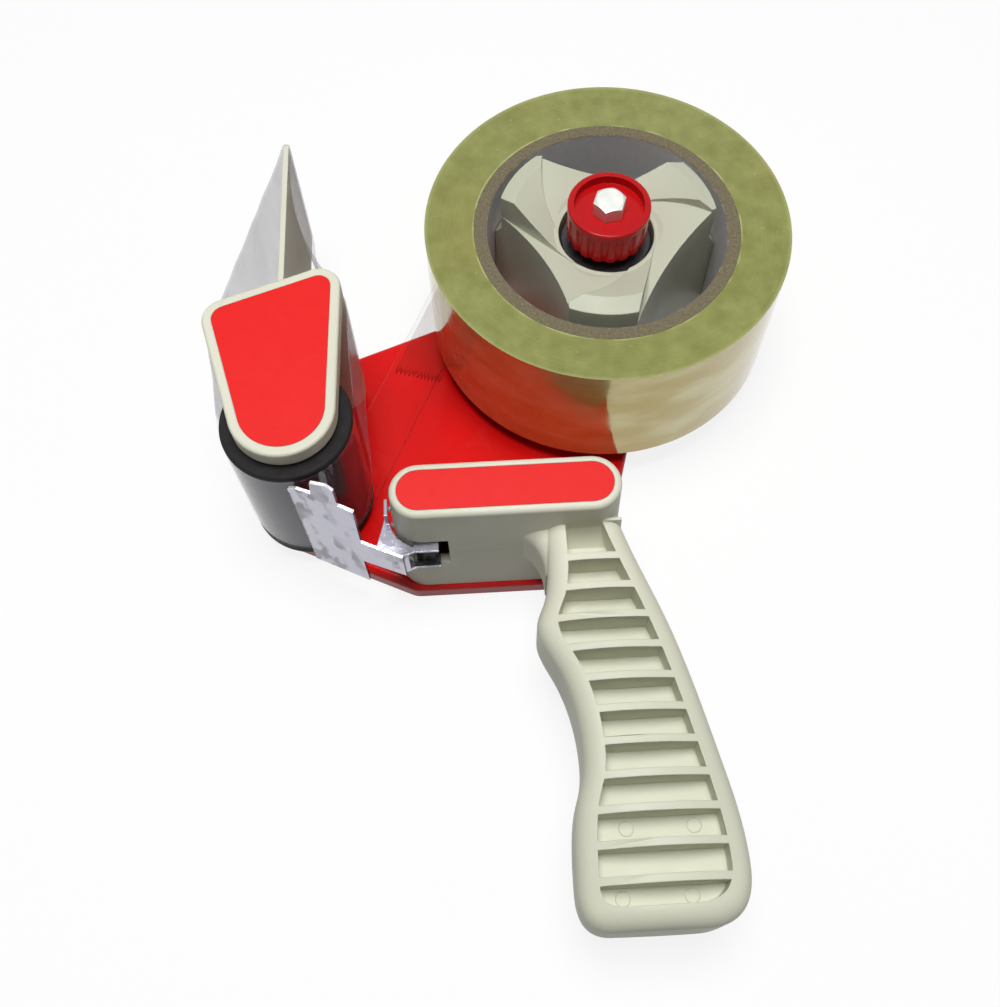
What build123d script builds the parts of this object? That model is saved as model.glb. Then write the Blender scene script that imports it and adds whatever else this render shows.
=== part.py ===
import os
from math import acos, atan2, cos, hypot, radians, sin, tan

from build123d import *

os.makedirs("parts", exist_ok=True)

# Tape roll on a 76 mm card core
tape_width = 48.0
roll_radius = 59.8
core_outer_radius = 43.7
core_inner_radius = 39.8
roll_dish = 2.0
liner_thickness = 0.4
film = 0.3
peel_angle = 200.0

# Folded sheet side plate
sheet = 1.2
flange_height = 7.0
bend_radius = 2.4
tape_gap = 7.0
plate_margin = 2.6

# Handle moulding
rail_length = 69.0
rail_width = 17.6
rail_height = 51.0
rail_wall = 2.4
rail_draft = 1.5
rail_dx = -38.3
rail_dy = -91.3
grip_reach = 214.5
grip_height = 31.8
crown_radius = 50.0
grip_tilt = 7.4
grip_rim = 6.0
grip_web = 11.0
grip_round = 6.0
flare_half = 12.6
flare_round = 6.0
rail_label_margin = 2.2
label_thickness = 0.4
rib_pitch = 9.1
rib_thickness = 2.2
rib_count = 11

# Rubber roller and the cover over its end
roller_radius = 20.0
roller_core_radius = 16.0
roller_length = 55.0
roller_dx = -102.6
roller_dy = -68.5
axle_radius = 4.0
left_reach = 128.6
cap_height = 5.6
cap_wall = 2.2
cap_end_radius = 16.0
cap_left_radius = 7.6
cap_right_radius = 7.0
cover_label_margin = 3.0

# Wiper fin behind the roller
fin_thickness = 1.8
fin_dx = -106.0
fin_reach = 40.0

# Cutter
blade_thickness = 1.0
blade_angle = -23.0
tooth_pitch = 1.6
tooth_angle = 48.0
tooth_count = 30

# Spindle, hub and brake knob
bolt_radius = 3.0
post_radius = 6.0
hub_radius = 36.3
hub_wall = 2.2
hub_arm_angle = 23.0
well_radius = 15.8
knob_radius = 13.2
knob_height = 12.9
flute_count = 18

# Fits
running_gap = 0.05
free_gap = 0.3

# Heights above the table
plate_top = flange_height
tape_low = plate_top + tape_gap
tape_top = tape_low + tape_width
core_low = tape_low - roll_dish
core_top = tape_top - roll_dish
rail_top = plate_top + rail_height
rail_mid = plate_top + rail_height / 2
washer_thickness = 1.4
roller_low = plate_top + washer_thickness + 0.2
roller_top = roller_low + roller_length
cap_low = roller_top + washer_thickness + 0.2
cap_top = cap_low + cap_height
well_floor = tape_top - 13.0
hub_face = tape_top - 5.0
hub_tip = tape_top + 2.5
hub_low = plate_top + 2.8
hub_hold = core_inner_radius - liner_thickness - free_gap
knob_low = tape_top - 3.5
knob_top = knob_low + knob_height
dish_floor = knob_top - 3.2
head_height = 5.4
nut_height = 4.2
nut_low = plate_top - sheet - nut_height

# Places in plan
spindle_x = (left_reach - roll_radius) / 2
spindle_y = (grip_reach - roll_radius) / 2
roller_x = spindle_x + roller_dx
roller_y = spindle_y + roller_dy
rail_x = spindle_x + rail_dx
rail_y = spindle_y + rail_dy
rail_near = rail_y - rail_width / 2
rail_foot = rail_length + 2 * rail_height * tan(radians(rail_draft))
rail_foot_width = rail_foot - rail_length + rail_width
screw_offset = (rail_length - rail_width) / 2
grip_x = spindle_x - 7.0
grip_end = spindle_y - grip_reach
grip_length = rail_near - grip_end
loop_clear = cap_left_radius + 0.4
left_corner_x = spindle_x - left_reach + loop_clear + film
left_corner_y = roller_y + 32.5
right_corner_x = roller_x + 10.0
right_corner_y = roller_y + 42.7
left_post_x = left_corner_x + 7.0
left_post_y = left_corner_y + 2.4
right_post_x = right_corner_x - 2.0
right_post_y = right_corner_y - 0.8
fin_x = spindle_x + fin_dx
fin_tip_y = spindle_y + fin_reach - fin_thickness / 2

# Cutter plane, stood just clear of the tape on the roller
blade_plane = Plane(
    origin=(roller_x + 2.0, roller_y - 22.9, 0),
    x_dir=(cos(radians(blade_angle)), sin(radians(blade_angle)), 0),
    z_dir=(sin(radians(blade_angle)), -cos(radians(blade_angle)), 0),
)
blade_width = 18.6
blade_low = tape_low - 0.6
blade_top = tape_top + 3.0
guard_top = blade_top + 11.0
arm_low = plate_top + 19.0
arm_top = arm_low + 14.0
arm_reach = 33.2
channel_left = rail_x - rail_length / 2 - 1.4
window_x = rail_x - rail_length / 2 + 10.6
window_z = plate_top + 25.5
window_width = 11.6
window_height = 16.0

# Spindle axis and the radial plane through it
spindle_axis = Axis((spindle_x, spindle_y, 0), (0, 0, 1))
spindle_plane = Plane(origin=(spindle_x, spindle_y, 0), x_dir=(1, 0, 0), z_dir=(0, -1, 0))
hub_window_offset = 118.0
hub_window_radius = 94.5

# Line the tape takes from where it peels off the roll to the near side of the roller
peel_radius = roll_radius + free_gap + film
peel_x = spindle_x + peel_radius * cos(radians(peel_angle))
peel_y = spindle_y + peel_radius * sin(radians(peel_angle))
roller_path = roller_radius + 2 * free_gap + film + film / 2
peel_reach = hypot(peel_x - roller_x, peel_y - roller_y)
meet_angle = atan2(peel_y - roller_y, peel_x - roller_x) - acos(roller_path / peel_reach)
strip_length = (peel_reach**2 - roller_path**2) ** 0.5
strip_plane = Plane(
    origin=(roller_x + roller_path * cos(meet_angle), roller_y + roller_path * sin(meet_angle), 0),
    x_dir=(-sin(meet_angle), cos(meet_angle), 0),
    z_dir=(cos(meet_angle), sin(meet_angle), 0),
)

# Side plate: red painted sheet with its rim folded down all round
with BuildPart() as side_plate:
    with BuildSketch(Plane.XY) as plate_outline:
        with Locations((spindle_x, spindle_y)):
            Circle(21.3)
        with Locations((roller_x, roller_y)):
            Circle(roller_radius - 3.6)
        with Locations((roller_x - 9.4, roller_y + 41.5)):
            Circle(7.0)
        with Locations((rail_x - 29.0, rail_near - plate_margin + 8)):
            Circle(8.0)
        with Locations((rail_x + 27.3, rail_near - plate_margin + 4)):
            Circle(4.0)
        make_hull()
    extrude(amount=flange_height)
    fillet(side_plate.faces().sort_by(Axis.Z)[-1].edges(), bend_radius)
    with BuildSketch(Plane.XY):
        add(plate_outline.sketch)
        offset(amount=-sheet, mode=Mode.REPLACE)
    extrude(amount=flange_height - sheet, mode=Mode.SUBTRACT)
    with Locations((spindle_x, spindle_y, plate_top), (roller_x, roller_y, plate_top)):
        Hole(bolt_radius + 0.1)
    with Locations((rail_x, rail_y, plate_top)):
        with GridLocations(2 * screw_offset, 1, 2, 1):
            Hole(2.2)
    with Locations((left_post_x, left_post_y, plate_top), (right_post_x, right_post_y, plate_top)):
        Hole(1.7)
side_plate.part.label = "side_plate"
export_step(side_plate.part, "parts/side_plate.step")


# Outline of the grip drawn a given distance inside its edge: finger bump, waist, heel and back
def grip_profile(inset):
    front = Spline(
        (spindle_x - 27.0 + inset, rail_near + 5),
        (spindle_x - 27.4 + inset, rail_near - 0.15 * grip_length),
        (spindle_x - 28.6 + inset, rail_near - 0.195 * grip_length),
        (spindle_x - 31.0 + inset, rail_near - 0.247 * grip_length),
        (spindle_x - 26.3 + inset, rail_near - 0.37 * grip_length),
        (spindle_x - 21.5 + inset, rail_near - 0.64 * grip_length),
        (spindle_x - 25.6 + inset, rail_near - 0.90 * grip_length),
        tangents=((0, -1), (0, -1)),
    )
    heel = Spline(front @ 1, (spindle_x - 16 + inset / 2, grip_end + inset), tangents=((0, -1), (1, 0)))
    base = Line(heel @ 1, (spindle_x + 7 - inset / 2, grip_end + inset))
    toe = Spline(
        base @ 1,
        (spindle_x + 21.6 - inset, rail_near - 0.86 * grip_length),
        tangents=((1, 0), (0, 1)),
    )
    back = Spline(
        toe @ 1,
        (spindle_x + 17.5 - inset, rail_near - 0.615 * grip_length),
        (spindle_x + 7.0 - inset, rail_near - 0.265 * grip_length),
        (rail_x + rail_length / 2 - 1.4 - inset, rail_near + 5),
        tangents=((0, 1), (-0.25, 1)),
    )
    Line(back @ 1, front @ 0)


# Crown of the grip across its slanted middle line
grip_half = grip_height / 2
crown_reach = 30.0
crown_edge = grip_half - crown_radius + (crown_radius**2 - crown_reach**2) ** 0.5
crown_plane = Plane(
    origin=(spindle_x - 16, rail_near + 10, rail_mid),
    x_dir=(cos(radians(grip_tilt)), sin(radians(grip_tilt)), 0),
    z_dir=(sin(radians(grip_tilt)), -cos(radians(grip_tilt)), 0),
)

# Rounded flare that carries the front rim of the grip into the rail
with BuildPart() as grip_flare:
    with BuildSketch(Plane.XY.offset(rail_mid)):
        with BuildLine():
            flare = Spline(
                (spindle_x - 27.5, rail_near - 0.12 * grip_length),
                (spindle_x - 38.0, rail_near + 1),
                tangents=((0, 1), (-1, 0.2)),
            )
            Polyline(
                flare @ 1,
                (spindle_x - 23.5, rail_near + 1),
                (spindle_x - 23.5, rail_near - 12),
                flare @ 0,
            )
        make_face()
    extrude(amount=flare_half, both=True)
    fillet(grip_flare.edges().filter_by(GeomType.BSPLINE), flare_round)

# Handle: hollow rail block and crowned, ribbed pistol grip in one cream moulding
with BuildPart() as handle:
    with BuildSketch(Plane.XY.offset(rail_mid)):
        with BuildLine():
            grip_profile(0)
        make_face()
    extrude(amount=grip_half, both=True)
    with BuildSketch(crown_plane):
        with BuildLine():
            over = ThreePointArc((-crown_reach, crown_edge), (0, grip_half), (crown_reach, crown_edge))
            Line(over @ 1, (crown_reach, -crown_edge))
            under = ThreePointArc((crown_reach, -crown_edge), (0, -grip_half), (-crown_reach, -crown_edge))
            Line(under @ 1, over @ 0)
        make_face()
    extrude(amount=grip_length + 30, mode=Mode.INTERSECT)
    outline_edges = handle.edges().filter_by(Axis.Z, reverse=True)
    fillet(outline_edges.filter_by_position(Axis.Y, grip_end - 1, rail_near), grip_round)
    with BuildSketch(Plane.XY.offset(rail_mid), mode=Mode.PRIVATE) as pockets:
        with BuildLine():
            grip_profile(grip_rim)
        make_face()
        with Locations((grip_x, rail_near - 10.9 - rib_pitch * (rib_count - 1) / 2)):
            with GridLocations(1, rib_pitch, 1, rib_count):
                Rectangle(80, rib_thickness, mode=Mode.SUBTRACT)
    pocket_depth = grip_half - grip_web / 2 + 1
    extrude(pockets.sketch.moved(Pos(0, 0, grip_web / 2)), amount=pocket_depth, mode=Mode.SUBTRACT)
    extrude(pockets.sketch.moved(Pos(0, 0, -grip_web / 2)), amount=-pocket_depth, mode=Mode.SUBTRACT)
    add(grip_flare.part)
    with BuildSketch(Plane.YZ.offset(spindle_x - 24)):
        with BuildLine():
            upper = ThreePointArc(
                (rail_near, rail_mid + grip_half),
                (rail_near - 1.6, rail_mid + 9),
                (rail_near - 4.8, rail_mid + 5),
            )
            lower = ThreePointArc(
                (rail_near - 4.8, rail_mid - 5),
                (rail_near - 1.6, rail_mid - 9),
                (rail_near, rail_mid - grip_half),
            )
            Line(upper @ 1, lower @ 0)
            Polyline(
                lower @ 1,
                (rail_near + 1, rail_mid - grip_half),
                (rail_near + 1, rail_mid + grip_half),
                upper @ 0,
            )
        make_face()
    extrude(amount=20)
    with BuildSketch(Plane.XY.offset(plate_top)):
        with Locations((rail_x, rail_y)):
            SlotOverall(rail_foot, rail_foot_width)
    extrude(amount=rail_height, taper=rail_draft)
    fillet(handle.faces().sort_by(Axis.Z)[-1].edges(), 1.6)
    with BuildSketch(Plane.XY.offset(plate_top)):
        with Locations((rail_x, rail_y)):
            SlotOverall(rail_length - 2 * rail_wall, rail_width - 2 * rail_wall)
            with GridLocations(2 * screw_offset, 1, 2, 1):
                Circle(4.2, mode=Mode.SUBTRACT)
    extrude(amount=rail_height - 4, mode=Mode.SUBTRACT)
    with BuildSketch(Plane.XY.offset(plate_top)):
        with Locations((rail_x, rail_y)):
            with GridLocations(2 * screw_offset, 1, 2, 1):
                Circle(2 + running_gap)
    extrude(amount=20, mode=Mode.SUBTRACT)
    with BuildSketch(Plane.XY.offset(rail_top)):
        with Locations((rail_x, rail_y)):
            SlotOverall(rail_length - 2 * rail_label_margin, rail_width - 2 * rail_label_margin)
    extrude(amount=-label_thickness, mode=Mode.SUBTRACT)
    with BuildSketch(Plane.XZ.offset(2 - rail_near)):
        with Locations((window_x, window_z)):
            Rectangle(window_width, window_height)
    extrude(amount=-rail_wall - 3, mode=Mode.SUBTRACT)
handle.part.label = "handle"
export_step(handle.part, "parts/handle.step")

# Red panel let into the top of the rail
with BuildPart() as handle_label:
    with BuildSketch(Plane.XY.offset(rail_top - label_thickness)):
        with Locations((rail_x, rail_y)):
            SlotOverall(rail_length - 2 * rail_label_margin - 0.2, rail_width - 2 * rail_label_margin - 0.2)
    extrude(amount=label_thickness)
handle_label.part.label = "handle_label"
export_step(handle_label.part, "parts/handle_label.step")

# Two screws that hold the rail from under the plate
for number, side in ((1, -1), (2, 1)):
    with BuildPart() as handle_screw:
        with BuildSketch(Plane.XY.offset(plate_top - sheet)):
            with Locations((rail_x + side * screw_offset, rail_y)):
                Circle(4.0)
        extrude(amount=-2.4)
        fillet(handle_screw.faces().sort_by(Axis.Z)[0].edges(), 1.0)
        with BuildSketch(Plane.XY.offset(plate_top - sheet)):
            with Locations((rail_x + side * screw_offset, rail_y)):
                Circle(2.0)
        extrude(amount=18)
        with BuildSketch(Plane.XY.offset(plate_top - sheet - 2.4)):
            with Locations((rail_x + side * screw_offset, rail_y)):
                Rectangle(4.4, 0.9)
                Rectangle(0.9, 4.4)
        extrude(amount=1.2, mode=Mode.SUBTRACT)
    handle_screw.part.label = f"handle_screw_{number}"
    export_step(handle_screw.part, f"parts/handle_screw_{number}.step")

# Roller axle: shouldered steel stud fixed through the plate
with BuildPart() as roller_axle:
    with BuildSketch(Plane.XY.offset(plate_top)):
        with Locations((roller_x, roller_y)):
            Circle(axle_radius)
    extrude(amount=cap_low - plate_top)
    with BuildSketch(Plane.XY.offset(nut_low + 0.4)):
        with Locations((roller_x, roller_y)):
            Circle(bolt_radius)
    extrude(amount=cap_top - 2.4 - nut_low)
    chamfer(roller_axle.faces().sort_by(Axis.Z)[-1].edges(), 0.5)
roller_axle.part.label = "roller_axle"
export_step(roller_axle.part, "parts/roller_axle.step")

# Hex nut on the axle in the hollow of the plate
with BuildPart() as axle_nut:
    with BuildSketch(Plane.XY.offset(nut_low)):
        with Locations((roller_x, roller_y)):
            RegularPolygon(5.0, 6, major_radius=False)
            Circle(bolt_radius + running_gap, mode=Mode.SUBTRACT)
    extrude(amount=nut_height)
axle_nut.part.label = "axle_nut"
export_step(axle_nut.part, "parts/axle_nut.step")

# Thrust washer between the plate and the roller
with BuildPart() as lower_washer:
    with BuildSketch(Plane.XY.offset(plate_top)):
        with Locations((roller_x, roller_y)):
            Circle(7.5)
            Circle(axle_radius + running_gap, mode=Mode.SUBTRACT)
    extrude(amount=washer_thickness)
lower_washer.part.label = "lower_washer"
export_step(lower_washer.part, "parts/lower_washer.step")

# Thrust washer between the roller and its cover
with BuildPart() as upper_washer:
    with BuildSketch(Plane.XY.offset(cap_low - washer_thickness)):
        with Locations((roller_x, roller_y)):
            Circle(7.5)
            Circle(axle_radius + running_gap, mode=Mode.SUBTRACT)
    extrude(amount=washer_thickness)
upper_washer.part.label = "upper_washer"
export_step(upper_washer.part, "parts/upper_washer.step")

# Roller core: hard plastic tube with two webs that run on the axle
with BuildPart() as roller_core:
    with BuildSketch(Plane.XY.offset(roller_low)):
        with Locations((roller_x, roller_y)):
            Circle(roller_core_radius)
            Circle(axle_radius + running_gap, mode=Mode.SUBTRACT)
    extrude(amount=roller_length)
    with BuildSketch(Plane.XY.offset(roller_low)):
        with Locations((roller_x, roller_y)):
            Circle(roller_core_radius - 3)
            Circle(axle_radius + 3, mode=Mode.SUBTRACT)
    extrude(amount=roller_length / 2 - 3, mode=Mode.SUBTRACT)
    with BuildSketch(Plane.XY.offset(roller_top)):
        with Locations((roller_x, roller_y)):
            Circle(roller_core_radius - 3)
            Circle(axle_radius + 3, mode=Mode.SUBTRACT)
    extrude(amount=3 - roller_length / 2, mode=Mode.SUBTRACT)
roller_core.part.label = "roller_core"
export_step(roller_core.part, "parts/roller_core.step")

# Black rubber sleeve on the roller core
with BuildPart() as roller_sleeve:
    with BuildSketch(Plane.XY.offset(roller_low)):
        with Locations((roller_x, roller_y)):
            Circle(roller_radius)
    extrude(amount=roller_length)
    fillet(roller_sleeve.edges(), 1.2)
    with Locations((roller_x, roller_y, roller_top)):
        Hole(roller_core_radius)
roller_sleeve.part.label = "roller_sleeve"
export_step(roller_sleeve.part, "parts/roller_sleeve.step")

# Roller cover: cream moulding, round over the roller and wide over the wiper
with BuildPart() as roller_cover:
    with BuildSketch(Plane.XY.offset(cap_low)):
        with Locations((roller_x, roller_y)):
            Circle(cap_end_radius)
        with Locations((left_corner_x, left_corner_y)):
            Circle(cap_left_radius)
        with Locations((right_corner_x, right_corner_y)):
            Circle(cap_right_radius)
        make_hull()
    extrude(amount=cap_height)
    fillet(roller_cover.faces().sort_by(Axis.Z)[-1].edges(), 1.0)
    with BuildSketch(Plane.XY.offset(cap_low)):
        with Locations((roller_x, roller_y)):
            Circle(cap_end_radius - cap_wall)
        with Locations((left_corner_x, left_corner_y)):
            Circle(cap_left_radius - cap_wall)
        with Locations((right_corner_x, right_corner_y)):
            Circle(cap_right_radius - cap_wall)
        make_hull()
        with Locations((roller_x, roller_y)):
            Circle(7.5, mode=Mode.SUBTRACT)
    extrude(amount=cap_height - cap_wall, mode=Mode.SUBTRACT)
    with BuildSketch(Plane.XY.offset(cap_low)):
        with Locations((roller_x, roller_y)):
            Circle(bolt_radius + running_gap)
    extrude(amount=cap_height - 1.6, mode=Mode.SUBTRACT)
    with BuildSketch(Plane.XY.offset(cap_top)):
        with Locations((roller_x, roller_y)):
            Circle(cap_end_radius - cover_label_margin)
        with Locations((left_corner_x, left_corner_y)):
            Circle(cap_left_radius - cover_label_margin)
        with Locations((right_corner_x, right_corner_y)):
            Circle(cap_right_radius - cover_label_margin)
        make_hull()
    extrude(amount=-label_thickness, mode=Mode.SUBTRACT)
roller_cover.part.label = "roller_cover"
export_step(roller_cover.part, "parts/roller_cover.step")

# Red panel let into the top of the roller cover
with BuildPart() as cover_label:
    with BuildSketch(Plane.XY.offset(cap_top - label_thickness)):
        with Locations((roller_x, roller_y)):
            Circle(cap_end_radius - cover_label_margin - 0.1)
        with Locations((left_corner_x, left_corner_y)):
            Circle(cap_left_radius - cover_label_margin - 0.1)
        with Locations((right_corner_x, right_corner_y)):
            Circle(cap_right_radius - cover_label_margin - 0.1)
        make_hull()
    extrude(amount=label_thickness)
cover_label.part.label = "cover_label"
export_step(cover_label.part, "parts/cover_label.step")

# Wiper: hollow oval post under the cover with a thin fin that lays the tape
with BuildPart() as wiper:
    with BuildSketch(Plane.XY.offset(plate_top)):
        with Locations((left_corner_x, left_corner_y)):
            Circle(cap_left_radius)
        with Locations((right_corner_x, right_corner_y)):
            Circle(cap_right_radius)
        make_hull()
    extrude(amount=cap_low - plate_top)
    with BuildSketch(Plane.XY.offset(plate_top)):
        with Locations((left_post_x + 7.5, left_post_y + 2.7), (right_post_x - 7.5, right_post_y - 2.7)):
            Circle(3.0)
        make_hull()
    extrude(amount=cap_low - plate_top, mode=Mode.SUBTRACT)
    with BuildSketch(Plane.XY.offset(tape_low)):
        with Locations((fin_x, left_corner_y + 10)):
            Circle(fin_thickness / 2)
        with Locations((fin_x, fin_tip_y)):
            Circle(fin_thickness / 2)
        make_hull()
    extrude(amount=tape_width)
    with BuildSketch(Plane.XY.offset(plate_top)):
        with Locations((left_post_x, left_post_y), (right_post_x, right_post_y)):
            Circle(1.5 + running_gap)
    extrude(amount=16, mode=Mode.SUBTRACT)
wiper.part.label = "wiper"
export_step(wiper.part, "parts/wiper.step")

# Two screws that hold the wiper from under the plate
for number, post_x, post_y in ((1, left_post_x, left_post_y), (2, right_post_x, right_post_y)):
    with BuildPart() as wiper_screw:
        with BuildSketch(Plane.XY.offset(plate_top - sheet)):
            with Locations((post_x, post_y)):
                Circle(3.0)
        extrude(amount=-2.0)
        fillet(wiper_screw.faces().sort_by(Axis.Z)[0].edges(), 0.8)
        with BuildSketch(Plane.XY.offset(plate_top - sheet)):
            with Locations((post_x, post_y)):
                Circle(1.5)
        extrude(amount=14)
        with BuildSketch(Plane.XY.offset(plate_top - sheet - 2.0)):
            with Locations((post_x, post_y)):
                Rectangle(3.4, 0.7)
                Rectangle(0.7, 3.4)
        extrude(amount=1.0, mode=Mode.SUBTRACT)
    wiper_screw.part.label = f"wiper_screw_{number}"
    export_step(wiper_screw.part, f"parts/wiper_screw_{number}.step")

# Cutter blade: zinc plated plate with a toothed edge, a stepped guard and an arm
with BuildPart() as cutter_blade:
    with BuildSketch(blade_plane):
        with BuildLine():
            Polyline(
                (0, blade_low),
                (blade_width, blade_low - 4),
                (blade_width, arm_low),
                (arm_reach, arm_low),
                (arm_reach, arm_top),
                (blade_width + 1, arm_top + 1),
                (blade_width + 1.6, blade_top - 1.5),
                (blade_width - 3, blade_top - 0.5),
                (blade_width - 3, guard_top - 2),
                (blade_width - 5, guard_top),
                (blade_width - 10, guard_top - 1.5),
                (blade_width - 11, blade_top + 2),
                (3, blade_top + 2),
                (0, blade_top),
                close=True,
            )
        make_face()
        with Locations((0, (blade_low + blade_top) / 2)):
            with GridLocations(1, tooth_pitch, 1, tooth_count):
                Triangle(
                    a=tooth_pitch * 0.96,
                    B=tooth_angle,
                    C=tooth_angle,
                    rotation=-90,
                    align=(Align.CENTER, Align.MIN),
                    mode=Mode.SUBTRACT,
                )
    extrude(amount=blade_thickness)
cutter_blade.part.label = "cutter_blade"
export_step(cutter_blade.part, "parts/cutter_blade.step")

# Blade bracket: folded zinc channel from the cutter's arm round the end of the rail, hooked in its window
channel_start = blade_plane.from_local_coords((arm_reach - 9, 0, 0))
channel_end = blade_plane.from_local_coords((arm_reach, 0, 0))
with BuildPart() as blade_bracket:
    with BuildSketch(Plane.XY.offset(arm_low + 0.5)):
        with BuildLine():
            Polyline(
                (channel_start.X, channel_start.Y),
                (channel_end.X, channel_end.Y),
                (window_x + 3, rail_near),
                (window_x, rail_y),
                (channel_left, rail_y + 4),
                (channel_left - 1.5, rail_y),
                close=True,
            )
        make_face()
        with Locations((rail_x, rail_y)):
            SlotOverall(rail_foot + 2 * free_gap, rail_foot_width + 2 * free_gap, mode=Mode.SUBTRACT)
        with Locations((window_x - 1, rail_near - 3)):
            Rectangle(window_width - 4, rail_wall + 3.4, align=(Align.CENTER, Align.MIN))
    extrude(amount=arm_top - arm_low - 1)
    with BuildSketch(blade_plane.offset(-1)):
        with Locations((arm_reach, (arm_low + arm_top) / 2)):
            Rectangle(80, arm_top - arm_low - 3)
    extrude(amount=-60, mode=Mode.SUBTRACT)
    with BuildSketch(Plane.XY.offset(arm_low + 0.5)):
        with Locations((channel_left - 1.2, rail_y - 2)):
            Rectangle(1, 5.5, align=(Align.MIN, Align.MIN))
    extrude(amount=arm_top - arm_low + 5)
blade_bracket.part.label = "blade_bracket"
export_step(blade_bracket.part, "parts/blade_bracket.step")

# Spindle post: flanged steel sleeve the hub turns on
with BuildPart() as spindle_post:
    with BuildSketch(Plane.XY.offset(plate_top)):
        with Locations((spindle_x, spindle_y)):
            Circle(11.0)
    extrude(amount=2.0)
    with BuildSketch(Plane.XY.offset(plate_top)):
        with Locations((spindle_x, spindle_y)):
            Circle(post_radius)
    extrude(amount=well_floor + 4 - plate_top)
    with Locations((spindle_x, spindle_y, well_floor + 4)):
        Hole(bolt_radius + running_gap)
spindle_post.part.label = "spindle_post"
export_step(spindle_post.part, "parts/spindle_post.step")

# Spindle nut in the hollow of the plate
with BuildPart() as spindle_nut:
    with BuildSketch(Plane.XY.offset(nut_low)):
        with Locations((spindle_x, spindle_y)):
            RegularPolygon(5.0, 6, major_radius=False)
            Circle(bolt_radius + running_gap, mode=Mode.SUBTRACT)
    extrude(amount=nut_height)
spindle_nut.part.label = "spindle_nut"
export_step(spindle_nut.part, "parts/spindle_nut.step")

# Ramp from one arm of the hub down to the flank of the next, drawn for an arm along +X
ramp_plane = Plane(origin=(16, 6.5, hub_face - 0.4), z_dir=(-0.25, 0.065, 1))
with BuildPart() as hub_ramp:
    with BuildSketch(Plane.XY.offset(well_floor)):
        with BuildLine():
            crease = ThreePointArc((13, 8.2), (27.5, -3.1), (35, -17.6))
            Polyline(crease @ 1, (46, -34), (0, -56), (-7.9, -35.4), (12.4, -10.8), crease @ 0)
        make_face()
    extrude(amount=40)
    split(bisect_by=ramp_plane, keep=Keep.TOP)

# Hub: three-armed cream spider with pads that hold the card core
with BuildPart() as core_hub:
    with BuildSketch(Plane.XY.offset(hub_low)):
        with Locations((spindle_x, spindle_y)):
            Circle(hub_hold)
            with PolarLocations(hub_window_offset, 3, start_angle=hub_arm_angle + 60):
                Circle(hub_window_radius, mode=Mode.SUBTRACT)
    extrude(amount=hub_tip - hub_low)
    with BuildSketch(Plane.XY.offset(hub_low)):
        with Locations((spindle_x, spindle_y)):
            Circle(hub_hold + 3)
            with PolarLocations(hub_window_offset, 3, start_angle=hub_arm_angle + 60):
                Circle(hub_window_radius, mode=Mode.SUBTRACT)
    extrude(amount=core_low - 0.4 - hub_low)
    with BuildSketch(spindle_plane):
        with BuildLine():
            Polyline(
                (0, hub_tip + 2),
                (0, hub_face),
                (well_radius + 1.4, hub_face),
                (hub_radius - 5.3, hub_tip),
                (hub_radius, hub_tip - 2),
                (hub_radius, hub_tip - 17),
                (hub_hold + 0.01, hub_tip - 22),
                (hub_hold + 4, hub_tip - 22),
                (hub_hold + 4, hub_tip + 2),
                close=True,
            )
        make_face()
    revolve(axis=spindle_axis, mode=Mode.SUBTRACT)
    with Locations((spindle_x, spindle_y)):
        with PolarLocations(0, 3, start_angle=hub_arm_angle):
            add(hub_ramp.part, mode=Mode.SUBTRACT)
    with BuildSketch(Plane.XY.offset(hub_low)):
        with Locations((spindle_x, spindle_y)):
            Circle(hub_radius - hub_wall)
            with PolarLocations(hub_window_offset, 3, start_angle=hub_arm_angle + 60):
                Circle(hub_window_radius + hub_wall, mode=Mode.SUBTRACT)
            Circle(post_radius + hub_wall, mode=Mode.SUBTRACT)
    extrude(amount=well_floor - 3 - hub_low, mode=Mode.SUBTRACT)
    with BuildSketch(Plane.XY.offset(well_floor)):
        with Locations((spindle_x, spindle_y)):
            Circle(well_radius)
    extrude(amount=20, mode=Mode.SUBTRACT)
    with Locations((spindle_x, spindle_y, hub_tip)):
        Hole(post_radius + running_gap)
core_hub.part.label = "core_hub"
export_step(core_hub.part, "parts/core_hub.step")

# Card core of the tape roll
with BuildPart() as card_core:
    with BuildSketch(Plane.XY.offset(core_low)):
        with Locations((spindle_x, spindle_y)):
            Circle(core_outer_radius)
            Circle(core_inner_radius, mode=Mode.SUBTRACT)
    extrude(amount=tape_width)
card_core.part.label = "card_core"
export_step(card_core.part, "parts/card_core.step")

# Grey paper liner inside the card core
with BuildPart() as core_liner:
    with BuildSketch(Plane.XY.offset(core_low)):
        with Locations((spindle_x, spindle_y)):
            Circle(core_inner_radius)
            Circle(core_inner_radius - liner_thickness, mode=Mode.SUBTRACT)
    extrude(amount=tape_width)
core_liner.part.label = "core_liner"
export_step(core_liner.part, "parts/core_liner.step")

# Wound clear tape, its faces slightly dished where the inner turns have crept down
with BuildPart() as tape_roll:
    with BuildSketch(spindle_plane):
        with BuildLine():
            Polyline(
                (core_outer_radius, core_low),
                (roll_radius, tape_low),
                (roll_radius, tape_top),
                (core_outer_radius, core_top),
                close=True,
            )
        make_face()
    revolve(axis=spindle_axis)
tape_roll.part.label = "tape_roll"
export_step(tape_roll.part, "parts/tape_roll.step")

# Fibre friction washer in the well of the hub
with BuildPart() as friction_washer:
    with BuildSketch(Plane.XY.offset(well_floor)):
        with Locations((spindle_x, spindle_y)):
            Circle(well_radius - 0.4)
            Circle(post_radius + 0.3, mode=Mode.SUBTRACT)
    extrude(amount=3.6)
friction_washer.part.label = "friction_washer"
export_step(friction_washer.part, "parts/friction_washer.step")

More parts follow.
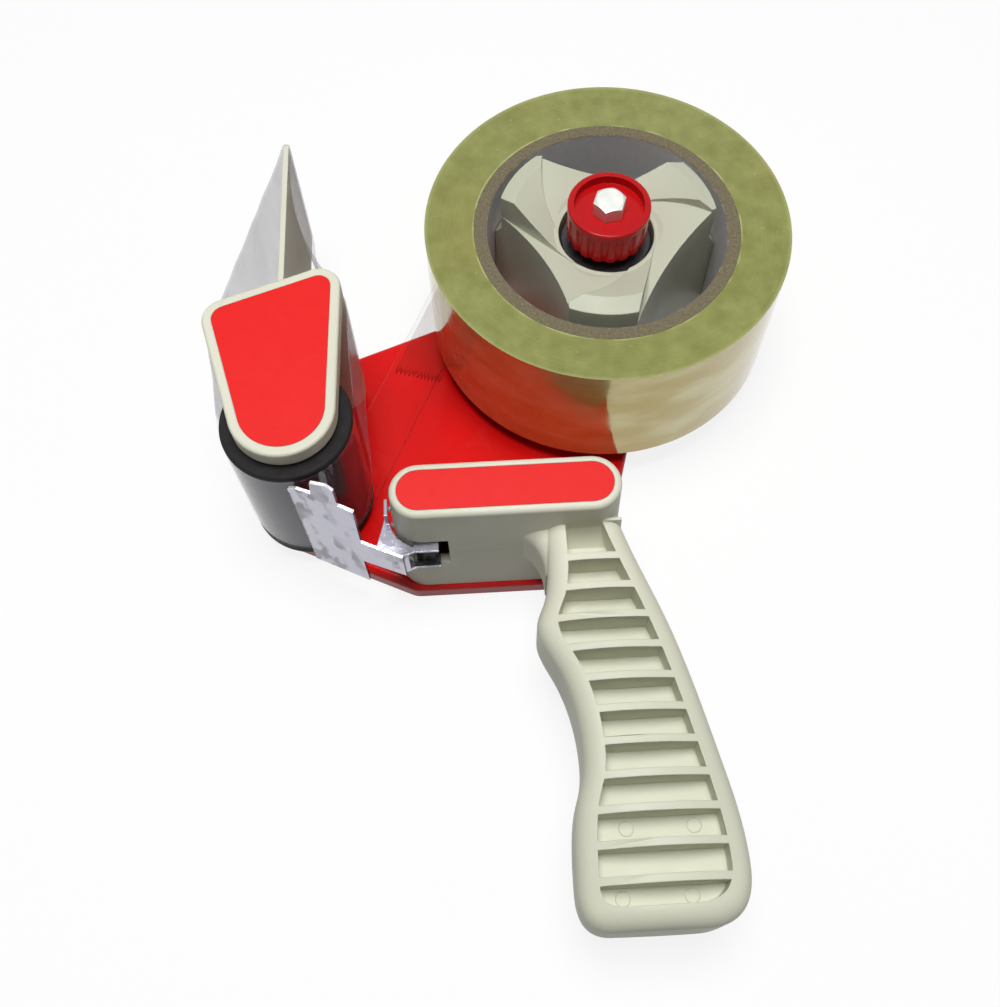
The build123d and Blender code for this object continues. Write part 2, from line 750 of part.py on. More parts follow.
# Steel pressure washer on the friction washer
with BuildPart() as pressure_washer:
    with BuildSketch(Plane.XY.offset(well_floor + 4.0)):
        with Locations((spindle_x, spindle_y)):
            Circle(well_radius - 1.2)
            Circle(bolt_radius + running_gap, mode=Mode.SUBTRACT)
    extrude(amount=washer_thickness)
pressure_washer.part.label = "pressure_washer"
export_step(pressure_washer.part, "parts/pressure_washer.step")

# Brake knob: red fluted knob with a dished top, its boss on the pressure washer
with BuildPart() as brake_knob:
    with BuildSketch(Plane.XY.offset(knob_low)):
        with Locations((spindle_x, spindle_y)):
            Circle(knob_radius)
    extrude(amount=knob_height, taper=-1)
    fillet(brake_knob.faces().sort_by(Axis.Z)[-1].edges(), 0.8)
    with BuildSketch(Plane.XY.offset(knob_low)):
        with Locations((spindle_x, spindle_y)):
            with PolarLocations(knob_radius + 0.9, flute_count):
                Circle(1.5)
    extrude(amount=knob_height - 2.6, mode=Mode.SUBTRACT)
    with BuildSketch(Plane.XY.offset(dish_floor)):
        with Locations((spindle_x, spindle_y)):
            Circle(knob_radius - 1.9)
    extrude(amount=6, mode=Mode.SUBTRACT)
    with BuildSketch(Plane.XY.offset(knob_low)):
        with Locations((spindle_x, spindle_y)):
            Circle(knob_radius - 3)
            Circle(bolt_radius + 3.5, mode=Mode.SUBTRACT)
    extrude(amount=dish_floor - knob_low - 2.4, mode=Mode.SUBTRACT)
    with BuildSketch(Plane.XY.offset(well_floor + 4.0 + washer_thickness)):
        with Locations((spindle_x, spindle_y)):
            Circle(bolt_radius + 3.5)
    extrude(amount=knob_low + 1 - well_floor - 4.0 - washer_thickness)
    with Locations((spindle_x, spindle_y, knob_top)):
        Hole(bolt_radius + running_gap)
brake_knob.part.label = "brake_knob"
export_step(brake_knob.part, "parts/brake_knob.step")

# Spindle bolt: zinc hex bolt through knob, hub and plate
with BuildPart() as spindle_bolt:
    with BuildSketch(Plane.XY.offset(dish_floor)):
        with Locations((spindle_x, spindle_y)):
            RegularPolygon(4.7, 6, major_radius=False, rotation=10)
    extrude(amount=head_height)
    with BuildSketch(spindle_plane):
        with BuildLine():
            Polyline(
                (4.3, dish_floor + head_height),
                (5.8, dish_floor + head_height - 1.0),
                (5.8, dish_floor + head_height + 1),
                close=True,
            )
        make_face()
    revolve(axis=spindle_axis, mode=Mode.SUBTRACT)
    with BuildSketch(Plane.XY.offset(nut_low + 0.4)):
        with Locations((spindle_x, spindle_y)):
            Circle(bolt_radius)
    extrude(amount=dish_floor + 1 - nut_low)
spindle_bolt.part.label = "spindle_bolt"
export_step(spindle_bolt.part, "parts/spindle_bolt.step")

# Tape drawn round the roller and the wiper fin
with BuildPart() as tape_loop:
    with BuildSketch(Plane.XY.offset(tape_low)):
        with Locations((roller_x, roller_y)):
            Circle(roller_radius + free_gap + film)
        with Locations((left_corner_x, left_corner_y)):
            Circle(loop_clear + film)
        with Locations((right_corner_x, right_corner_y)):
            Circle(cap_right_radius + 0.4 + film)
        with Locations((fin_x, fin_tip_y)):
            Circle(fin_thickness / 2 + free_gap + film)
        make_hull()
    extrude(amount=tape_width)
    with BuildSketch(Plane.XY.offset(tape_low)):
        with Locations((roller_x, roller_y)):
            Circle(roller_radius + free_gap)
        with Locations((left_corner_x, left_corner_y)):
            Circle(loop_clear)
        with Locations((right_corner_x, right_corner_y)):
            Circle(cap_right_radius + 0.4)
        with Locations((fin_x, fin_tip_y)):
            Circle(fin_thickness / 2 + free_gap)
        make_hull()
    extrude(amount=tape_width, mode=Mode.SUBTRACT)
tape_loop.part.label = "tape_loop"
export_step(tape_loop.part, "parts/tape_loop.step")

# Tape running from the roll to the roller
with BuildPart() as tape_strip:
    with BuildSketch(strip_plane):
        with Locations((0, tape_low)):
            Rectangle(strip_length, tape_width, align=(Align.MIN, Align.MIN))
    extrude(amount=film / 2, both=True)
tape_strip.part.label = "tape_strip"
export_step(tape_strip.part, "parts/tape_strip.step")
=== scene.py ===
import math

import bmesh
import bpy
from mathutils import Matrix, Vector, noise


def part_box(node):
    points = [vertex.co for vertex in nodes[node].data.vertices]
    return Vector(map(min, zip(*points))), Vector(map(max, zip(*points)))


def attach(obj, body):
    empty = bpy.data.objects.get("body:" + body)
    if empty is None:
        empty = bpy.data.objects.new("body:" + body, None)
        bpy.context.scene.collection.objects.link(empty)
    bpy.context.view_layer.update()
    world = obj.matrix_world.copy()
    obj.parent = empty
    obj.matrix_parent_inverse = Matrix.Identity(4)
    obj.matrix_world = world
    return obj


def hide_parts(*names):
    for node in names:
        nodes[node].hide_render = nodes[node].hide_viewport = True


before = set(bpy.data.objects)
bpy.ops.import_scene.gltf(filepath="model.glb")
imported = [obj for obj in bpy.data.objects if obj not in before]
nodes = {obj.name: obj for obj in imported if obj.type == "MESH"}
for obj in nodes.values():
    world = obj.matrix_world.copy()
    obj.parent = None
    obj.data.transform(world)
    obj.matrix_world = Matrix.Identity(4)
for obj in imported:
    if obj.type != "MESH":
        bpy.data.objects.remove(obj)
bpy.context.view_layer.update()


# Side plate: one stamped sheet of steel with its rim folded down all round, dipped and baked in red
# gloss enamel. Everything else is bolted or screwed to it. The enamel has a faint orange peel and is
# rubbed a little duller where the tape and the table touch it.
class Wire:
    """A value in a finish: sums and products add Math nodes, and node() adds any other node."""

    def __init__(self, tree, socket):
        self.tree = tree
        self.socket = socket

    def node(self, kind, settings, inputs, output=0):
        new = self.tree.nodes.new(kind)
        for name, value in settings.items():
            setattr(new, name, value)
        for name, value in inputs.items():
            if isinstance(value, Wire):
                self.tree.links.new(value.socket, new.inputs[name])
            else:
                new.inputs[name].default_value = value
        return Wire(self.tree, new.outputs[output])

    def math(self, operation, *values):
        return self.node("ShaderNodeMath", {"operation": operation}, dict(enumerate(values)))

    def __add__(self, other):
        return self.math("ADD", self, other)

    __radd__ = __add__

    def __sub__(self, other):
        return self.math("SUBTRACT", self, other)

    def __rsub__(self, other):
        return self.math("SUBTRACT", other, self)

    def __mul__(self, other):
        return self.math("MULTIPLY", self, other)

    __rmul__ = __mul__

    def __abs__(self):
        return self.math("ABSOLUTE", self)

    def step(self, low, high):
        """0 below low, 1 above high, smooth between."""
        settings = {"interpolation_type": "SMOOTHSTEP"}
        return self.node("ShaderNodeMapRange", settings, {"Value": self, "From Min": low, "From Max": high})

    def cloud(self, scale, detail=3.0, stretch=(1, 1, 1)):
        """Soft noise about 1/scale metres across, read from this place."""
        place = self.node("ShaderNodeMapping", {}, {"Vector": self, "Scale": stretch})
        return self.node("ShaderNodeTexNoise", {}, {"Vector": place, "Scale": scale, "Detail": detail})

    def axis(self, name):
        """One coordinate of this place."""
        return self.node("ShaderNodeSeparateXYZ", {}, {0: self}, name)

    def off_axis(self, centre):
        """How far this place is from the upright line through a centre."""
        apart = self.node("ShaderNodeVectorMath", {"operation": "SUBTRACT"}, {0: self, 1: centre})
        level = self.node("ShaderNodeVectorMath", {"operation": "MULTIPLY"}, {0: apart, 1: (1, 1, 0)})
        return self.node("ShaderNodeVectorMath", {"operation": "LENGTH"}, {0: level}, "Value")

    def tint(self, one, other):
        """Goes from the first colour to the second as this value goes from 0 to 1."""
        return self.node("ShaderNodeMix", {"data_type": "RGBA"}, {0: self, 6: one, 7: other}, 2)

    def relief(self, depth, edge=0.0):
        """The normal of a surface raised by this value times depth, its sharp edges eased by a radius."""
        eased = self.node("ShaderNodeBevel", {"samples": 6}, {"Radius": edge})
        return self.node("ShaderNodeBump", {}, {"Height": self, "Distance": depth, "Normal": eased}, "Normal")

    def to(self, shader, name):
        self.tree.links.new(self.socket, shader.inputs[name])


def rgb(*screen):
    """A colour given as its red, green and blue screen values from 0 to 255."""
    linear = [c / 255 / 12.92 if c < 11 else ((c / 255 + 0.055) / 1.055) ** 2.4 for c in screen]
    return (*linear, 1.0)


def finish(name, constants):
    """A new finish: its material, its shader and the wire of the piece's own place."""
    material = bpy.data.materials.new(name)
    material.use_nodes = True
    tree = material.node_tree
    shader = tree.nodes["Principled BSDF"]
    for socket, value in constants.items():
        shader.inputs[socket].default_value = value
    return material, shader, Wire(tree, tree.nodes.new("ShaderNodeTexCoord").outputs["Object"])


def coat(material, *names):
    """Gives CAD nodes a finish."""
    for name in names:
        nodes[name].data.materials.clear()
        nodes[name].data.materials.append(material)


red_enamel, shader, place = finish(
    "red_enamel", {"Specular IOR Level": 0.12, "Coat Weight": 0.05, "Coat Roughness": 0.05}
)
place.cloud(35.0).tint(rgb(208, 13, 14), rgb(224, 20, 19)).to(shader, "Base Color")
(0.18 + 0.16 * place.cloud(90.0, 6.0).step(0.45, 0.75)).to(shader, "Roughness")
place.cloud(700.0, 2.0).relief(0.00003, 0.0004).to(shader, "Normal")
coat(red_enamel, "side_plate")


# Handle: rail block and pistol grip moulded as one hollow piece in cream polypropylene. The mould
# leaves a fine spark grain, slight flow marks, a parting line at half height and the round marks of
# its ejector pins on the pocket floors.
def cream_plastic(name, light, dark, edge, parting, shade_below_y):
    """Cream plastic, painted darker below a given Y: a painted shade where the light falls off towards the
    heel.
    """
    material, shader, place = finish(name, {"Specular IOR Level": 0.35})
    flow = place.cloud(26.0, 4.0, (1, 0.35, 1))
    specks = place.cloud(2600.0, 1.0).step(0.69, 0.74)
    # Painted shade: below the given Y the cream is tinted darker, for the light falling off towards the heel.
    painted_heel_shade = 0.9 * (shade_below_y - place.axis("Y")).step(0.0, 0.05)
    (flow.step(0.35, 0.7) * 0.8 + specks * 0.35 + painted_heel_shade).tint(light, dark).to(shader, "Base Color")
    (0.4 + 0.18 * place.cloud(140.0, 5.0)).to(shader, "Roughness")
    seam = 1 - abs(place.axis("Z") - parting).step(0.0, 0.00025)
    grain = place.cloud(1500.0, 3.0) + 2.0 * place.cloud(60.0, 2.0)
    (grain + 3.0 * seam).relief(0.00004, edge).to(shader, "Normal")
    return material


handle_low, handle_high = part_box("handle")
parting_height = (handle_low.z + handle_high.z) / 2
handle_cream = cream_plastic(
    "handle_cream", rgb(221, 219, 201), rgb(207, 208, 188), edge=0.0006, parting=parting_height, shade_below_y=-0.02
)
coat(handle_cream, "handle")


def add_piece(name, shape, material, body):
    """Turns a finished bmesh into a piece that rides on a body."""
    mesh = bpy.data.meshes.new(name)
    shape.to_mesh(mesh)
    shape.free()
    mesh.materials.append(material)
    piece = bpy.data.objects.new(name, mesh)
    bpy.context.scene.collection.objects.link(piece)
    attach(piece, body)
    return piece


spindle = (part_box("tape_roll")[0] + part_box("tape_roll")[1]) / 2
pin_radius = 0.0021
pin_stand = 0.00012
half_web = 0.0055
pocket_floor = parting_height + half_web
pin_rows = (-0.1878, -0.2059)
pin_columns = (-0.0106, 0.0080)
grip_lean = 0.15
shape = bmesh.new()
for row in pin_rows:
    for column in pin_columns:
        drift = (row - pin_rows[0]) * grip_lean
        pin = bmesh.ops.create_cone(
            shape,
            cap_ends=True,
            segments=28,
            radius1=pin_radius,
            radius2=pin_radius,
            depth=2 * pin_stand,
            matrix=Matrix.Translation((spindle.x + column + drift, spindle.y + row, pocket_floor)),
        )
        around = {edge for vert in pin["verts"] for edge in vert.link_edges}
        rim = [edge for edge in around if all(vert.co.z > pocket_floor for vert in edge.verts)]
        bmesh.ops.bevel(
            shape, geom=rim, offset=pin_stand * 0.8, affect="EDGES", segments=2, profile=0.5, material=-1
        )
add_piece("ejector_marks", shape, handle_cream, "frame")


# Red panels: two thin stickers of red printed film, one on the rail and one on the roller cover. Each is
# die cut with round corners and stuck down in a shallow recess of the moulding.
red_print, shader, place = finish("red_print", {"Specular IOR Level": 0.2})
place.cloud(320.0, 4.0).tint(rgb(224, 26, 25), rgb(232, 36, 33)).to(shader, "Base Color")
(0.42 + 0.12 * place.cloud(60.0, 4.0)).to(shader, "Roughness")
place.cloud(1800.0, 2.0).relief(0.00002).to(shader, "Normal")
coat(red_print, "handle_label", "cover_label")


# Roller cover, wiper and hub: three more mouldings of the same cream plastic, with no parting line on
# show. The cover sits on the roller's axle, the wiper is screwed to the plate under it, and the hub turns
# on the spindle post and holds the card core. The hub's cream is drawn greyer, a painted shade for the dimmer
# light on it.
part_edge = 0.0005
no_parting = 1.0
no_shade_below = -1.0
part_cream = cream_plastic(
    "part_cream", rgb(219, 218, 200), rgb(208, 208, 188), part_edge, no_parting, no_shade_below
)
# Painted shade: the hub gets a greyer copy of the cream, standing in for the dimmer light on it.
hub_shaded_cream = cream_plastic(
    "hub_shaded_cream", rgb(192, 194, 174), rgb(180, 182, 162), part_edge, no_parting, no_shade_below
)
coat(part_cream, "roller_cover", "wiper")
coat(hub_shaded_cream, "core_hub")


# Screws, nuts, washers, axle, post and spindle bolt: steel, cold headed or turned, and plated with dull
# zinc. They hold the mouldings to the plate from below, and the roller and the hub turn on them. The
# washer under the knob is drawn dark grey, a painted shade for the shadow under the knob.
zinc, shader, place = finish("zinc_steel", {"Metallic": 1.0})
place.cloud(260.0, 5.0).tint(rgb(190, 191, 188), rgb(218, 219, 214)).to(shader, "Base Color")
(0.38 + 0.2 * place.cloud(500.0, 4.0)).to(shader, "Roughness")
place.cloud(900.0, 4.0, (1, 1, 0.2)).relief(0.00003).to(shader, "Normal")
coat(zinc, "handle_screw_1", "handle_screw_2", "roller_axle", "axle_nut", "lower_washer", "upper_washer",
     "wiper_screw_1", "wiper_screw_2", "spindle_post", "spindle_nut", "spindle_bolt")

# Painted shade: the washer's steel is drawn dark grey for the shadow under the knob.
shade_darkened, shader, place = finish("shade_darkened_steel", {"Metallic": 1.0})
place.cloud(400.0, 5.0).tint(rgb(54, 53, 55), rgb(84, 83, 84)).to(shader, "Base Color")
(0.3 + 0.2 * place.cloud(600.0, 4.0)).to(shader, "Roughness")
place.cloud(900.0, 4.0).relief(0.00003).to(shader, "Normal")
coat(shade_darkened, "pressure_washer")


# Roller: a hard black tube that runs on the axle, with a sleeve of soft black rubber pressed on. The
# film glued round it makes the rubber shine, except for the bare bands above and below the tape. The
# plastic of the tube and the fibre of the friction washer in the hub's well are the same dull black.
loop_low, loop_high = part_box("tape_loop")
tape_width = loop_high.z - loop_low.z
tape_middle = (loop_low.z + loop_high.z) / 2
rubber, shader, place = finish(
    "black_rubber", {"Specular IOR Level": 0.25, "Coat Roughness": 0.1, "Coat Tint": rgb(240, 238, 255)}
)
place.cloud(220.0, 6.0).step(0.3, 0.8).tint(rgb(12, 10, 10), rgb(26, 23, 23)).to(shader, "Base Color")
(0.6 + 0.2 * place.cloud(400.0, 4.0)).to(shader, "Roughness")
under_film = 1 - abs(place.axis("Z") - tape_middle).step(tape_width / 2 - 0.0004, tape_width / 2)
under_film.to(shader, "Coat Weight")
place.cloud(300.0, 2.0).relief(0.00002).to(shader, "Normal")
coat(rubber, "roller_sleeve")

black_fibre, shader, place = finish("black_fibre", {"Specular IOR Level": 0.25})
place.cloud(500.0, 6.0).tint(rgb(20, 19, 19), rgb(40, 38, 37)).to(shader, "Base Color")
(0.6 + 0.25 * place.cloud(700.0, 4.0)).to(shader, "Roughness")
place.cloud(1500.0, 4.0).relief(0.00008).to(shader, "Normal")
coat(black_fibre, "roller_core", "friction_washer")


# Cutter: sheared and stamped from bright zinc plated sheet, with the folded bracket that hangs it on the
# rail. The plating is smeared with handling, and the sheared edges are bare and rough. On the blade, the
# faces that look up are painted near white: bare sheared metal and a painted highlight.
def zinc_sheet(name, bare_and_highlit):
    """Zinc plated sheet whose upward facing faces, where the flag is 1, are painted near white as bare
    sheared metal and a painted highlight.
    """
    material, shader, place = finish(name, {"Metallic": 1.0})
    smear = place.cloud(120.0, 5.0, (1.5, 1.5, 0.6)).step(0.5, 0.6)
    plated = (smear * place.cloud(50.0, 2.0).step(0.35, 0.55)).tint(rgb(172, 171, 184), rgb(116, 116, 124))
    facing = place.node("ShaderNodeNewGeometry", {}, {}, "True Normal")
    # Bare metal and painted highlight: faces that look up are tinted near white.
    edge = bare_and_highlit * facing.axis("Z").step(0.6, 0.8)
    burr = edge * place.cloud(900.0, 2.0).step(0.4, 0.55)
    edge.tint(plated, rgb(236, 236, 236)).to(shader, "Base Color")
    (0.11 + 0.16 * smear + 0.3 * burr).to(shader, "Roughness")
    dents = place.cloud(110.0, 2.0) + 0.1 * place.cloud(1200.0, 3.0)
    (dents + 0.3 * burr).relief(0.0003, 0.0002).to(shader, "Normal")
    return material


coat(zinc_sheet("blade_zinc", 1.0), "cutter_blade")
coat(zinc_sheet("bracket_zinc", 0.0), "blade_bracket")


# Brake knob: injection moulded in glossy red plastic, fluted for the fingers and dished on top. The head
# of the spindle bolt sits in the dish, and turning the knob presses the washers on the hub to brake it.
red_gloss, shader, place = finish("red_gloss", {"Specular IOR Level": 0.18})
place.cloud(160.0, 4.0).tint(rgb(176, 11, 17), rgb(190, 16, 21)).to(shader, "Base Color")
(0.16 + 0.08 * place.cloud(300.0, 4.0)).to(shader, "Roughness")
place.cloud(250.0, 2.0).relief(0.00002, 0.0003).to(shader, "Normal")
coat(red_gloss, "brake_knob")


# Card core: grey brown waste card wound and glued in a spiral tube, its sawn ends rough with fibres. It is
# faced inside with plain grey paper, frayed at the cut, and is held by the arms of the hub.
card, shader, place = finish("brown_card", {"Specular IOR Level": 0.1})
fibres = place.cloud(1100.0, 6.0)
flecks = place.cloud(1900.0, 3.0).step(0.6, 0.68)
(0.7 * fibres + 0.4 * flecks).tint(rgb(80, 72, 55), rgb(164, 155, 126)).to(shader, "Base Color")
(0.8 + 0.15 * fibres).to(shader, "Roughness")
(fibres + 0.5 * flecks).relief(0.0003).to(shader, "Normal")
coat(card, "card_core")

liner_low, liner_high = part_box("core_liner")
paper, shader, place = finish("grey_paper", {"Specular IOR Level": 0.2})
weave = place.cloud(500.0, 6.0, (1, 1, 0.4)).tint(rgb(206, 204, 207), rgb(226, 224, 227))
raw = place.axis("Z").step(liner_high.z - 0.0004, liner_high.z - 0.0001)
raw.tint(weave, rgb(112, 100, 86)).to(shader, "Base Color")
(0.6 + 0.2 * place.cloud(300.0)).to(shader, "Roughness")
place.cloud(1500.0, 3.0).relief(0.00003).to(shader, "Normal")


def spin_round(shape):
    """Turns a closed profile about the spindle into a ring with its corners sharp."""
    profile = shape.verts[:] + shape.edges[:]
    bmesh.ops.spin(
        shape, geom=profile, cent=spindle, axis=(0, 0, 1), angle=math.tau, steps=160, use_merge=True
    )
    bmesh.ops.remove_doubles(shape, verts=shape.verts, dist=1e-6)
    bmesh.ops.recalc_face_normals(shape, faces=shape.faces)
    for face in shape.faces:
        face.smooth = True
    for edge in shape.edges:
        edge.smooth = edge.calc_face_angle() < 0.6


liner_reach = (liner_high.x - liner_low.x) / 2
liner_thickness = 0.0004
shape = bmesh.new()
corners = [
    shape.verts.new((spindle.x + reach, spindle.y, level))
    for reach, level in (
        (liner_reach, liner_low.z),
        (liner_reach, liner_high.z),
        (liner_reach - liner_thickness, liner_high.z),
        (liner_reach - liner_thickness, liner_low.z),
    )
]
for start, end in zip(corners, corners[1:] + corners[:1]):
    shape.edges.new((start, end))
spin_round(shape)
frayed = 0.00025
for vert in shape.verts:
    if vert.co.z > (liner_low.z + liner_high.z) / 2:
        tuft = noise.noise(Vector((vert.co.x * 400, vert.co.y * 400, 0.0)))
        vert.co.z -= frayed * (0.5 + 0.5 * tuft)
liner = add_piece("paper_liner", shape, paper, "roll")
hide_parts("core_liner")


# Wound tape: some hundreds of turns of clear film with a yellow green glue, wound slightly conical. Their
# cut edges make the olive top, with fine rings where turns stand proud. The outer turn is smooth as glass
# and mirrors the red plate and the table.
tape_edges, shader, place = finish("tape_edges", {"Specular IOR Level": 0.4})
radius = place.off_axis(spindle)
turns = radius.node(
    "ShaderNodeTexNoise", {"noise_dimensions": "1D"}, {"W": radius, "Scale": 2600.0, "Detail": 4.0}
)
mottle = place.cloud(170.0, 7.0)
specks = place.cloud(800.0, 2.0).step(0.7, 0.75)
green = (0.3 * turns + 0.7 * mottle).tint(rgb(88, 94, 28), rgb(160, 163, 96))
# Large amber patches at random over the olive top.
amber = place.cloud(22.0, 3.0).step(0.5, 0.8) * 0.35
amber_patched = amber.tint(green, rgb(140, 122, 62))
# Pale tint: random specks, and painted highlights in thin rings along the inner and outer rims of the top.
inner_turns = (0.0440, 0.0445)
outer_turns = (0.0582, 0.0598)
inner_rim_glint = (1 - radius.step(*inner_turns)) * place.cloud(120.0, 4.0).step(0.4, 0.6)
specks_and_rim_highlights = radius.step(*outer_turns) * 0.3 + specks * 0.35 + inner_rim_glint * 0.6
specks_and_rim_highlights.tint(amber_patched, rgb(190, 192, 136)).to(shader, "Base Color")
(0.36 + 0.16 * mottle - 0.1 * turns).to(shader, "Roughness")
turns.relief(0.00005).to(shader, "Normal")

tape_wall, shader, place = finish("tape_wall", {"Metallic": 0.5, "Coat Weight": 0.4, "Coat Roughness": 0.04})
blush = place.cloud(34.0, 5.0, (1, 1, 2.4)).step(0.35, 0.7)
blush.tint(rgb(190, 170, 92), rgb(214, 206, 152)).to(shader, "Base Color")
(0.07 + 0.14 * blush).to(shader, "Roughness")
place.cloud(45.0, 3.0, (1, 1, 2.0)).relief(0.0002).to(shader, "Normal")

roll_low, roll_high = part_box("tape_roll")
core_low, core_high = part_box("card_core")
roll_reach = (roll_high.y - roll_low.y) / 2
card_gap = 0.00005
core_reach = (core_high.x - core_low.x) / 2 + card_gap
dish = roll_high.z - core_high.z
shape = bmesh.new()
inner_low = shape.verts.new((spindle.x + core_reach, spindle.y, core_low.z))
outer_low = shape.verts.new((spindle.x + roll_reach, spindle.y, core_low.z + dish))
outer_high = shape.verts.new((spindle.x + roll_reach, spindle.y, roll_high.z))
inner_high = shape.verts.new((spindle.x + core_reach, spindle.y, core_high.z))
shape.edges.new((inner_high, inner_low))
under = shape.edges.new((inner_low, outer_low))
shape.edges.new((outer_low, outer_high))
top = shape.edges.new((outer_high, inner_high))
bmesh.ops.subdivide_edges(shape, edges=[under, top], cuts=40)
uneven = 0.00008
for vert in shape.verts:
    proud = noise.noise(Vector((vert.co.x * 3000, 0.0, 0.0)))
    inwards = 1 if vert.co.z < spindle.z else -1
    vert.co.z += inwards * uneven * (0.5 + 0.5 * proud)
spin_round(shape)
for face in shape.faces:
    face.material_index = 0 if abs(face.normal.z) > 0.5 else 1
roll = add_piece("wound_tape", shape, tape_edges, "roll")
roll.data.materials.append(tape_wall)
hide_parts("tape_roll")


# Drawn tape: thin clear film pulled round the rubber roller, the corners of the wiper and the tip of its
# fin. It is glued to the rubber, and hangs in shallow wrinkles where it crosses open air.
def clear_film(name, alpha, spread, rim, tone, shadow_tone):
    """Film of a tone and alpha that vary by spread. Its edges are drawn darker and more opaque, the lower
    edge most: a painted shadow along the film's lower edge.
    """
    material, shader, place = finish(name, {"Specular IOR Level": 0.6})
    creases = place.cloud(90.0, 5.0, (1, 1, 0.35))
    height = place.axis("Z")
    both_edges = abs(height - tape_middle).step(tape_width / 2 - 0.0007, tape_width / 2)
    # Painted shadow: a dark, more opaque band along the lower edge of the film.
    lower_edge_shadow = 1 - (height - loop_low.z).step(0.0003, 0.0014)
    edges = both_edges * 0.3 + lower_edge_shadow * 0.7
    edges.tint(tone, shadow_tone).to(shader, "Base Color")
    loose = place.off_axis(roller).step(0.0206, 0.0225)
    ((0.06 + 0.94 * loose) * (alpha + spread * (creases - 0.5)) + rim * edges).to(shader, "Alpha")
    (0.1 + 0.25 * place.cloud(45.0, 3.0)).to(shader, "Roughness")
    creases.relief(0.0004).to(shader, "Normal")
    return material


film = 0.00008
roller_low, roller_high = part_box("roller_sleeve")
roller = (roller_low + roller_high) / 2
left_corner = (loop_low.x + 0.0083, roller.y + 0.0325, 0.00815)
right_corner = (roller.x + 0.0100, roller.y + 0.0427, 0.00755)
fin_tip = (spindle.x - 0.1060, loop_high.y - 0.0015, 0.00135)
glued_reach = 0.02045
turns_at = ((roller.x, roller.y, glued_reach), left_corner, right_corner, fin_tip)
shape = bmesh.new()
for x, y, reach in turns_at:
    for level in (loop_low.z, loop_high.z):
        bmesh.ops.create_circle(shape, segments=96, radius=reach, matrix=Matrix.Translation((x, y, level)))
hull = bmesh.ops.convex_hull(shape, input=shape.verts)
inside = [item for item in hull["geom_interior"] if isinstance(item, bmesh.types.BMVert)]
bmesh.ops.delete(shape, geom=inside, context="VERTS")
ends = [face for face in shape.faces if abs(face.normal.z) > 0.5]
bmesh.ops.delete(shape, geom=ends, context="FACES")
bmesh.ops.dissolve_limit(shape, angle_limit=0.005, verts=shape.verts, edges=shape.edges)
longest_edge = 0.0025
long_edges = [True]
while long_edges:
    level_edges = [e for e in shape.edges if abs(e.verts[0].co.z - e.verts[1].co.z) < 1e-5]
    long_edges = [e for e in level_edges if e.calc_length() > longest_edge]
    bmesh.ops.subdivide_edges(shape, edges=long_edges, cuts=1, use_grid_fill=True)
upright = [e for e in shape.edges if abs(e.verts[0].co.z - e.verts[1].co.z) > 0.01]
bmesh.ops.subdivide_edges(shape, edges=upright, cuts=23, use_grid_fill=True)
bmesh.ops.recalc_face_normals(shape, faces=shape.faces)
shape.normal_update()
slack = 0.0007
taut_margin = 0.008
bow = 0.0030
bow_more_above = 0.0025
for vert in shape.verts:
    free = min((vert.co.xy - Vector((x, y))).length - reach for x, y, reach in turns_at)
    looseness = min(max(free / taut_margin, 0.0), 1.0)
    wave = 0.5 + 0.5 * noise.noise(Vector((vert.co.x * 140, vert.co.y * 140, vert.co.z * 35)))
    outward = Vector((vert.normal.x, vert.normal.y, 0)).normalized()
    inward = slack * looseness * wave
    down_fin = (fin_tip[1] - vert.co.y) / (fin_tip[1] - right_corner[1])
    if vert.co.x > fin_tip[0] and 0 < down_fin < 1:
        rise = (vert.co.z - loop_low.z) / tape_width
        inward += (bow + bow_more_above * rise) * math.sin(math.pi * down_fin)
    vert.co -= outward * inward
bmesh.ops.solidify(shape, geom=shape.faces, thickness=film)
for face in shape.faces:
    face.smooth = True
loop_film = clear_film("loop_film", 0.29, 0.16, 0.12, rgb(198, 194, 212), rgb(188, 184, 200))
drawn = add_piece("drawn_tape", shape, loop_film, "frame")
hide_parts("tape_loop")


# Tape in its run: the same film peeling off the roll and crossing to the roller, almost invisible but
# for its edges, with the toothed end of an older cut still stuck on it near the roll.
peel_angle = math.radians(200)
peel_reach = 0.0604
peel_side = Vector((math.cos(peel_angle), math.sin(peel_angle), 0))
peel = Vector((spindle.x, spindle.y, 0)) + peel_side * peel_reach
roller_path = 0.02105
reach = peel - Vector((roller.x, roller.y, 0))
meet_angle = math.atan2(reach.y, reach.x) - math.acos(roller_path / reach.length)
across = Vector((math.cos(meet_angle), math.sin(meet_angle), 0))
along = Vector((-across.y, across.x, 0))
run_length = (reach.length ** 2 - roller_path ** 2) ** 0.5
meet = Vector((roller.x, roller.y, 0)) + across * roller_path
wrinkle = 0.0004
shape = bmesh.new()
bmesh.ops.create_grid(shape, x_segments=56, y_segments=44, size=0.5)
for vert in shape.verts:
    travel, rise = vert.co.x + 0.5, vert.co.y + 0.5
    loose = math.sin(math.pi * travel)
    ripple = noise.noise(Vector((travel * 7, rise * 2.2, 3.0)))
    vert.co = meet + along * run_length * travel + across * wrinkle * loose * ripple
    vert.co.z = loop_low.z + tape_width * rise
bmesh.ops.recalc_face_normals(shape, faces=shape.faces)
bmesh.ops.solidify(shape, geom=shape.faces, thickness=film)
for face in shape.faces:
    face.smooth = True
# Painted shadow: the run's lower edge is drawn dark red, as the film's shadow on the plate.
run_film = clear_film("run_film", 0.03, 0.06, 0.4, rgb(206, 150, 138), rgb(84, 8, 8))
run = add_piece("tape_run", shape, run_film, "frame")
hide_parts("tape_strip")

